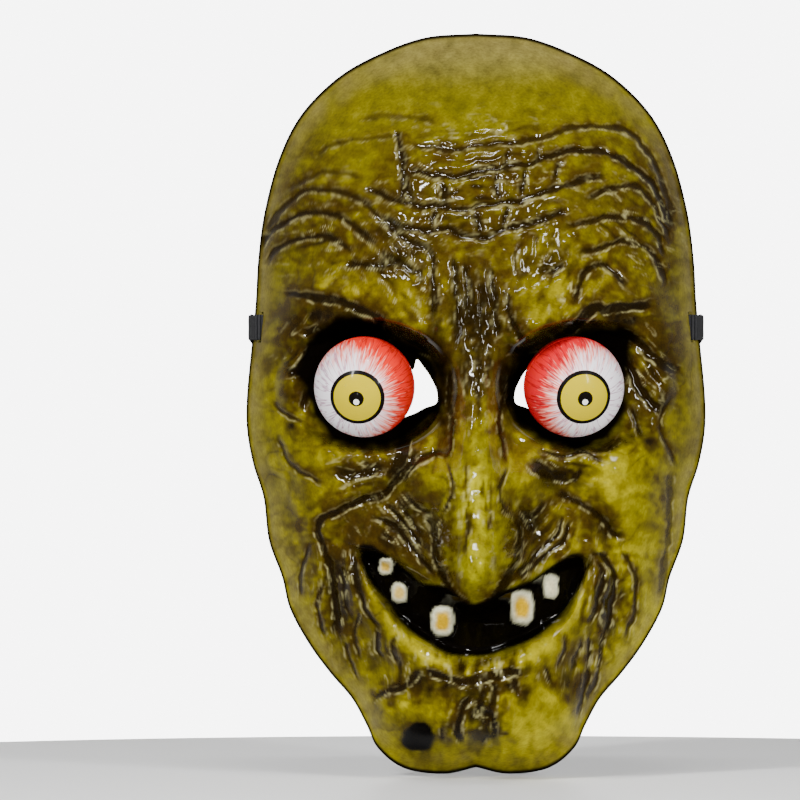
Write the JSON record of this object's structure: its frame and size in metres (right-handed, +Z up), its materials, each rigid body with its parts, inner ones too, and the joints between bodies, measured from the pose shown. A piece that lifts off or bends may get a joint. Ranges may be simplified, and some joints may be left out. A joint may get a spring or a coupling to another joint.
{
  "type": "face mask",
  "caption": "Rigid painted face mask of a ghoul with a long nose and gap-toothed grin, two ball eyes on springs in front of its eye holes, and an elastic head strap.",
  "frame": {"origin": "middle of the flat rear rim, in its plane, halfway up the mask, where the wearer's face meets it", "axes": "+Z up, the face looks along -Y, +X is the viewer's right"},
  "size_m": [0.1738, 0.1373, 0.2797],
  "materials": {
    "painted_pvc": "vacuum-formed PVC sheet, olive yellow-green paint with a dark brown wash in the wrinkles, black sockets and mouth, clear gloss coat",
    "eyeball_plastic": "glossy moulded ball, white with red veins fading in from the edge, and a yellow iris in a black ring",
    "black_plastic": "moulded black plastic",
    "spring_wire": "bright drawn steel wire",
    "bracket_sheet": "tinned steel strip",
    "rivet_metal": "plain aluminium",
    "black_elastic": "flat knitted black elastic"
  },
  "bodies": {
    "root": {"mask_shell": "painted_pvc", "head_strap": "black_elastic", "left_spring_seat": "black_plastic", "left_eye_bracket": "bracket_sheet", "left_upper_rivet": "rivet_metal", "left_lower_rivet": "rivet_metal", "left_strap_staple": "spring_wire", "right_spring_seat": "black_plastic", "right_eye_bracket": "bracket_sheet", "right_upper_rivet": "rivet_metal", "right_lower_rivet": "rivet_metal", "right_strap_staple": "spring_wire"},
    "left_spring_front": {"left_spring": "spring_wire"},
    "left_cup": {"left_spring_cup": "black_plastic"},
    "left_ball": {"left_eyeball_front": "eyeball_plastic", "left_eyeball_rear": "eyeball_plastic"},
    "right_spring_front": {"right_spring": "spring_wire"},
    "right_cup": {"right_spring_cup": "black_plastic"},
    "right_ball": {"right_eyeball_front": "eyeball_plastic", "right_eyeball_rear": "eyeball_plastic"}
  },
  "joints": [
    {"name": "left_eye_pop", "type": "slide", "parent": "root", "child": "left_spring_front", "axis": [0, -1, 0], "range_m": [-0.002, 0.02], "stiffness_N_per_m": 150, "deforming": ["left_spring"]},
    {"name": "left_eye_nod", "type": "hinge", "parent": "left_spring_front", "child": "left_cup", "pos_m": [-0.0414, -0.057, 0.006], "axis": [1, 0, 0], "range_deg": [-18, 18], "stiffness_Nm_per_rad": 0.03},
    {"name": "left_eye_turn", "type": "hinge", "parent": "left_cup", "child": "left_ball", "pos_m": [-0.0414, -0.057, 0.006], "axis": [0, 0, 1], "range_deg": [-30, 30], "stiffness_Nm_per_rad": 0.03},
    {"name": "right_eye_pop", "type": "slide", "parent": "root", "child": "right_spring_front", "axis": [0, -1, 0], "range_m": [-0.002, 0.02], "stiffness_N_per_m": 150, "deforming": ["right_spring"]},
    {"name": "right_eye_nod", "type": "hinge", "parent": "right_spring_front", "child": "right_cup", "pos_m": [0.0363, -0.057, 0.006], "axis": [1, 0, 0], "range_deg": [-18, 18], "stiffness_Nm_per_rad": 0.03},
    {"name": "right_eye_turn", "type": "hinge", "parent": "right_cup", "child": "right_ball", "pos_m": [0.0363, -0.057, 0.006], "axis": [0, 0, 1], "range_deg": [-30, 30], "stiffness_Nm_per_rad": 0.03}
  ]
}
